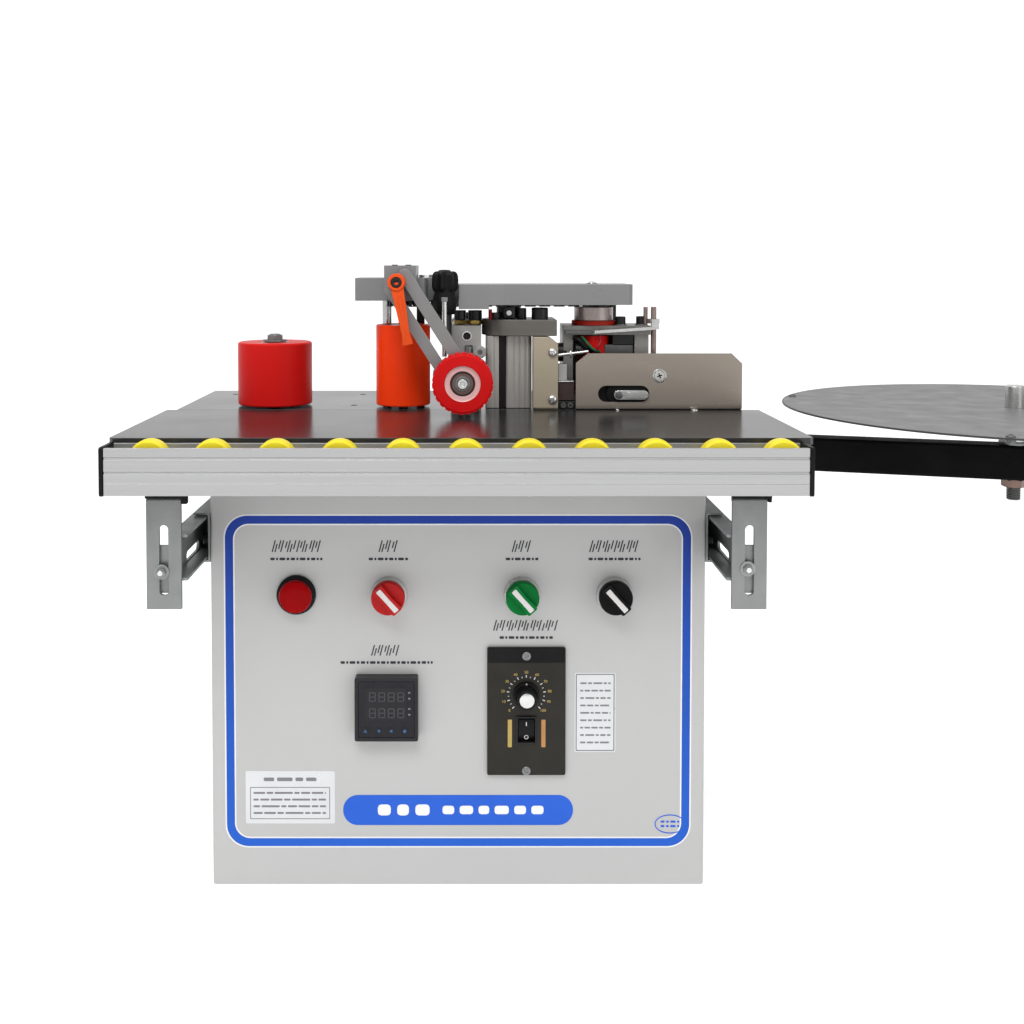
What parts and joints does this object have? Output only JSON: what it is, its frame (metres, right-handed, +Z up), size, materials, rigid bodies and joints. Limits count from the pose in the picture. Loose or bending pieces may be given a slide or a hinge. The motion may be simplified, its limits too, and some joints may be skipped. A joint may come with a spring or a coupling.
{
  "type": "edge banding machine",
  "caption": "Bench-top edge banding machine: steel cabinet, split table, pull-out roller support, glue unit, feed rollers, press wheel on a linkage and swing-out tape reel.",
  "frame": {"origin": "centre of the cabinet underside, on the bench", "axes": "+X towards the tape reel, +Y to the rear of the machine, +Z up; the operator stands on the -Y side"},
  "size_m": [0.9445, 0.4266, 0.4788],
  "materials": {
    "cabinet_paint": "semi-gloss powder coat",
    "table_black": "satin black coated plate",
    "aluminium": "extruded, satin",
    "zinc_steel": "zinc plated",
    "yellow_nylon": "satin nylon",
    "red_urethane": "smooth polyurethane",
    "orange_urethane": "smooth polyurethane",
    "grey_paint": "semi-gloss paint on cast aluminium",
    "dark_grey_paint": "semi-gloss paint",
    "stainless": "brushed",
    "beige_steel": "warm zinc plate",
    "black_plastic": "satin",
    "black_steel": "satin black paint",
    "reel_grey": "fine texture paint",
    "orange_plastic": "satin",
    "lamp_red": "translucent lens",
    "speed_plate": "satin black plate",
    "knob_red": "satin",
    "knob_green": "satin",
    "knob_black": "satin"
  },
  "bodies": {
    "machine_frame": {"cabinet_shell": "cabinet_paint", "cabinet_rear_cover": "cabinet_paint", "front_table": "table_black", "rear_table": "table_black", "rail_left": "zinc_steel", "rail_right": "zinc_steel", "power_lamp": "lamp_red", "temperature_controller": "black_plastic", "speed_controller": "speed_plate", "guide_roller_post": "zinc_steel", "drive_cover": "grey_paint", "column": "aluminium", "column_cap": "dark_grey_paint", "column_side_plate": "beige_steel", "glue_pot": "aluminium", "tape_guard": "stainless", "cutter_block": "dark_grey_paint", "drive_motor": "black_steel", "drive_chain": "black_steel", "reel_bracket": "black_steel"},
    "roller_support": {"roller_bar": "aluminium", "bar_end_cap_left": "black_plastic", "bar_end_cap_right": "black_plastic", "runner_left": "zinc_steel", "runner_right": "zinc_steel", "bar_bracket_left": "zinc_steel", "bar_bracket_right": "zinc_steel"},
    "support_roller_01": {"support_roller_01": "yellow_nylon"},
    "support_roller_02": {"support_roller_02": "yellow_nylon"},
    "support_roller_03": {"support_roller_03": "yellow_nylon"},
    "support_roller_04": {"support_roller_04": "yellow_nylon"},
    "support_roller_05": {"support_roller_05": "yellow_nylon"},
    "support_roller_06": {"support_roller_06": "yellow_nylon"},
    "support_roller_07": {"support_roller_07": "yellow_nylon"},
    "support_roller_08": {"support_roller_08": "yellow_nylon"},
    "support_roller_09": {"support_roller_09": "yellow_nylon"},
    "support_roller_10": {"support_roller_10": "yellow_nylon"},
    "support_roller_11": {"support_roller_11": "yellow_nylon"},
    "guide_roller": {"guide_roller": "red_urethane"},
    "feed_roller": {"feed_roller": "orange_urethane"},
    "drive_sprocket": {"drive_sprocket": "black_steel"},
    "tape_feed_roller": {"tape_feed_roller": "red_urethane"},
    "glue_roller": {"glue_roller": "zinc_steel"},
    "press_arm_upper": {"press_arm_upper": "grey_paint"},
    "press_arm_lower": {"press_arm_lower": "grey_paint"},
    "wheel_carrier": {"wheel_carrier": "grey_paint"},
    "press_wheel": {"press_wheel": "red_urethane"},
    "clamp_lever": {"clamp_lever": "orange_plastic"},
    "star_knob": {"star_knob": "black_plastic"},
    "selector_knob_power": {"selector_knob_power": "knob_red"},
    "selector_knob_motor": {"selector_knob_motor": "knob_green"},
    "selector_knob_curve": {"selector_knob_curve": "knob_black"},
    "speed_knob": {"speed_knob": "black_plastic"},
    "rocker_switch": {"rocker_switch": "black_plastic"},
    "guard_slider": {"guard_slider": "zinc_steel"},
    "cutter_lever": {"cutter_lever": "stainless"},
    "glue_pot_lid": {"glue_pot_lid": "aluminium"},
    "reel_arm": {"reel_arm": "black_steel", "reel_spindle": "zinc_steel"},
    "reel_disc": {"reel_disc": "reel_grey"}
  },
  "joints": [
    {"name": "roller_bar_slide", "type": "slide", "parent": "machine_frame", "child": "roller_support", "axis": [0, -1, 0], "range_m": [0, 0.14]},
    {"name": "support_roller_01_spin", "type": "hinge", "parent": "roller_support", "child": "support_roller_01", "pos_m": [-0.216, -0.188, 0.343], "axis": [0, 1, 0], "continuous": true},
    {"name": "support_roller_02_spin", "type": "hinge", "parent": "roller_support", "child": "support_roller_02", "pos_m": [-0.1715, -0.188, 0.343], "axis": [0, 1, 0], "continuous": true},
    {"name": "support_roller_03_spin", "type": "hinge", "parent": "roller_support", "child": "support_roller_03", "pos_m": [-0.127, -0.188, 0.343], "axis": [0, 1, 0], "continuous": true},
    {"name": "support_roller_04_spin", "type": "hinge", "parent": "roller_support", "child": "support_roller_04", "pos_m": [-0.0825, -0.188, 0.343], "axis": [0, 1, 0], "continuous": true},
    {"name": "support_roller_05_spin", "type": "hinge", "parent": "roller_support", "child": "support_roller_05", "pos_m": [-0.038, -0.188, 0.343], "axis": [0, 1, 0], "continuous": true},
    {"name": "support_roller_06_spin", "type": "hinge", "parent": "roller_support", "child": "support_roller_06", "pos_m": [0.0065, -0.188, 0.343], "axis": [0, 1, 0], "continuous": true},
    {"name": "support_roller_07_spin", "type": "hinge", "parent": "roller_support", "child": "support_roller_07", "pos_m": [0.051, -0.188, 0.343], "axis": [0, 1, 0], "continuous": true},
    {"name": "support_roller_08_spin", "type": "hinge", "parent": "roller_support", "child": "support_roller_08", "pos_m": [0.0955, -0.188, 0.343], "axis": [0, 1, 0], "continuous": true},
    {"name": "support_roller_09_spin", "type": "hinge", "parent": "roller_support", "child": "support_roller_09", "pos_m": [0.14, -0.188, 0.343], "axis": [0, 1, 0], "continuous": true},
    {"name": "support_roller_10_spin", "type": "hinge", "parent": "roller_support", "child": "support_roller_10", "pos_m": [0.1845, -0.188, 0.343], "axis": [0, 1, 0], "continuous": true},
    {"name": "support_roller_11_spin", "type": "hinge", "parent": "roller_support", "child": "support_roller_11", "pos_m": [0.229, -0.188, 0.343], "axis": [0, 1, 0], "continuous": true},
    {"name": "guide_roller_spin", "type": "hinge", "parent": "machine_frame", "child": "guide_roller", "pos_m": [-0.163, 0.018, 0.38], "axis": [0, 0, 1], "continuous": true},
    {"name": "feed_roller_spin", "type": "hinge", "parent": "machine_frame", "child": "feed_roller", "pos_m": [-0.0493, 0.008, 0.39], "axis": [0, 0, 1], "continuous": true},
    {"name": "drive_sprocket_spin", "type": "hinge", "parent": "machine_frame", "child": "drive_sprocket", "pos_m": [0.043, 0.0119, 0.437], "axis": [0, 0, 1], "continuous": true},
    {"name": "tape_feed_roller_spin", "type": "hinge", "parent": "machine_frame", "child": "tape_feed_roller", "pos_m": [0.1177, 0.015, 0.4], "axis": [0, 0, 1], "continuous": true},
    {"name": "glue_roller_spin", "type": "hinge", "parent": "machine_frame", "child": "glue_roller", "pos_m": [0.008, -0.0075, 0.38], "axis": [0, 0, 1], "continuous": true},
    {"name": "press_arm_upper_lift", "type": "hinge", "parent": "machine_frame", "child": "press_arm_upper", "pos_m": [-0.0445, -0.046, 0.4709], "axis": [0, -1, 0], "range_deg": [0, 35]},
    {"name": "press_arm_lower_lift", "type": "hinge", "parent": "machine_frame", "child": "press_arm_lower", "pos_m": [-0.0569, -0.046, 0.4593], "axis": [0, -1, 0], "range_deg": [0, 35]},
    {"name": "wheel_carrier_level", "type": "hinge", "parent": "press_arm_upper", "child": "wheel_carrier", "pos_m": [0.0001, -0.046, 0.4006], "axis": [0, -1, 0], "range_deg": [-35, 0]},
    {"name": "press_wheel_spin", "type": "hinge", "parent": "wheel_carrier", "child": "press_wheel", "pos_m": [0.0032, -0.061, 0.3832], "axis": [0, 1, 0], "continuous": true},
    {"name": "clamp_lever_turn", "type": "hinge", "parent": "machine_frame", "child": "clamp_lever", "pos_m": [-0.0507, -0.058, 0.4651], "axis": [0, -1, 0], "range_deg": [0, 90]},
    {"name": "star_knob_turn", "type": "hinge", "parent": "machine_frame", "child": "star_knob", "pos_m": [-0.0124, -0.0235, 0.467], "axis": [0, 0, 1], "range_deg": [-360, 360]},
    {"name": "selector_power_turn", "type": "hinge", "parent": "machine_frame", "child": "selector_knob_power", "pos_m": [-0.053, -0.124, 0.2264], "axis": [0, 1, 0], "range_deg": [0, 90]},
    {"name": "selector_motor_turn", "type": "hinge", "parent": "machine_frame", "child": "selector_knob_motor", "pos_m": [0.0491, -0.124, 0.2264], "axis": [0, 1, 0], "range_deg": [0, 90]},
    {"name": "selector_curve_turn", "type": "hinge", "parent": "machine_frame", "child": "selector_knob_curve", "pos_m": [0.12, -0.124, 0.2264], "axis": [0, 1, 0], "range_deg": [0, 90]},
    {"name": "speed_knob_turn", "type": "hinge", "parent": "machine_frame", "child": "speed_knob", "pos_m": [0.0524, -0.128, 0.1496], "axis": [0, 1, 0], "range_deg": [-135, 135]},
    {"name": "rocker_switch_tilt", "type": "hinge", "parent": "machine_frame", "child": "rocker_switch", "pos_m": [0.0525, -0.1183, 0.1222], "axis": [1, 0, 0], "range_deg": [-16, 0]},
    {"name": "guard_slider_slide", "type": "slide", "parent": "machine_frame", "child": "guard_slider", "axis": [1, 0, 0], "range_m": [-0.0115, 0]},
    {"name": "cutter_lever_swing", "type": "hinge", "parent": "machine_frame", "child": "cutter_lever", "pos_m": [0.169, 0.005, 0.425], "axis": [0, 0, 1], "range_deg": [0, 18]},
    {"name": "glue_pot_lid_open", "type": "hinge", "parent": "machine_frame", "child": "glue_pot_lid", "pos_m": [0.0057, 0.08, 0.4275], "axis": [-1, 0, 0], "range_deg": [0, 100]},
    {"name": "reel_arm_swing", "type": "hinge", "parent": "machine_frame", "child": "reel_arm", "pos_m": [0.212, 0.104, 0.304], "axis": [0, 0, 1], "range_deg": [-15, 75]},
    {"name": "reel_disc_spin", "type": "hinge", "parent": "reel_arm", "child": "reel_disc", "pos_m": [0.4945, 0.025, 0.3515], "axis": [0, 0, 1], "continuous": true}
  ],
  "couplings": [
    {"joint": "drive_sprocket_spin", "follows": "feed_roller_spin", "ratio": 1},
    {"joint": "tape_feed_roller_spin", "follows": "feed_roller_spin", "ratio": 1},
    {"joint": "glue_roller_spin", "follows": "feed_roller_spin", "ratio": 2.95},
    {"joint": "press_arm_lower_lift", "follows": "press_arm_upper_lift", "ratio": 1},
    {"joint": "wheel_carrier_level", "follows": "press_arm_upper_lift", "ratio": -1}
  ]
}
